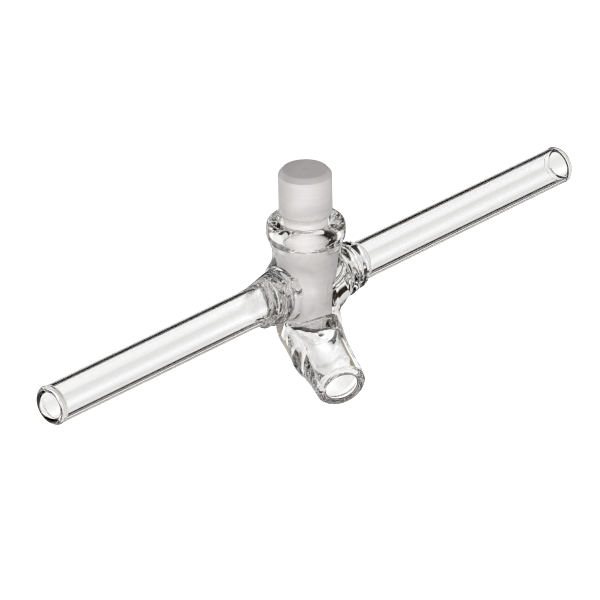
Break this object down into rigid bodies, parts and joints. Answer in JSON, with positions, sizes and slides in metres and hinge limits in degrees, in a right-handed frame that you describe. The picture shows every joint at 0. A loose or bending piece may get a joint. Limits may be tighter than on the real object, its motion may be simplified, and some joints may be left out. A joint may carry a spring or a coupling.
{
  "type": "glass stopcock",
  "caption": "Three-way glass stopcock: ground glass plug turning in a fused barrel with two side arms in line and a short port slanting out below.",
  "frame": {"origin": "on the plug's axis, midway between the heights of the two side arms", "axes": "+Z along the plug's axis towards its head, +X along the right side arm, which is on the right when the lower port points to the front (-Y)"},
  "size_m": [0.186, 0.0342, 0.0558],
  "materials": {
    "clear_glass": "clear fire-polished borosilicate glass, with a ground seat inside",
    "ground_glass": "fine ground, frosted"
  },
  "bodies": {
    "barrel": {"barrel": "clear_glass"},
    "plug": {"plug": "ground_glass"}
  },
  "joints": [
    {"name": "plug_turn", "type": "hinge", "parent": "barrel", "child": "plug", "pos_m": [0, 0, 0], "axis": [0, 0, 1], "continuous": true}
  ]
}
